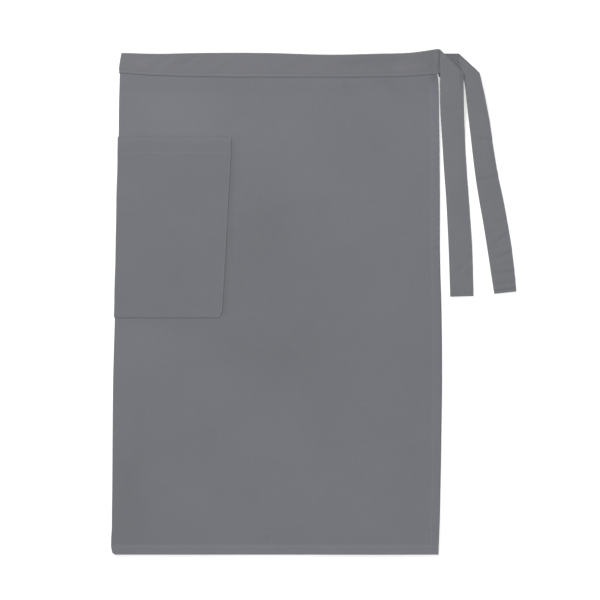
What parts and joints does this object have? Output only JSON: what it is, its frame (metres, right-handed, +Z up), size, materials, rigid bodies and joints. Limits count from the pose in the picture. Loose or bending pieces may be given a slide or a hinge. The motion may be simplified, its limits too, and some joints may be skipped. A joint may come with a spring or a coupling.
{
  "type": "waist apron",
  "caption": "Long grey waist apron folded in half lengthwise and laid flat, with a front patch pocket and its ties turned down beside it, worn to protect clothes at work",
  "frame": {"origin": "under the middle of the laid apron's bounding box, on the surface it lies on", "axes": "+Y runs from the bottom hem up to the waistband, +X from the fold to the open side edges and the ties, +Z up from the surface"},
  "size_m": [0.6302, 0.7864, 0.0081],
  "materials": {
    "panel_cloth": "plain fine twill in cotton and polyester, matt mid grey",
    "band_cloth": "the same grey twill, doubled, with edge stitching",
    "pocket_cloth": "the same grey twill, one layer with stitched edges",
    "tie_cloth": "the same grey twill, doubled and edge stitched"
  },
  "bodies": {
    "root": {"apron_panel": "panel_cloth", "waistband": "band_cloth", "front_pocket": "pocket_cloth", "tie_front": "tie_cloth", "tie_back": "tie_cloth"}
  },
  "joints": []
}
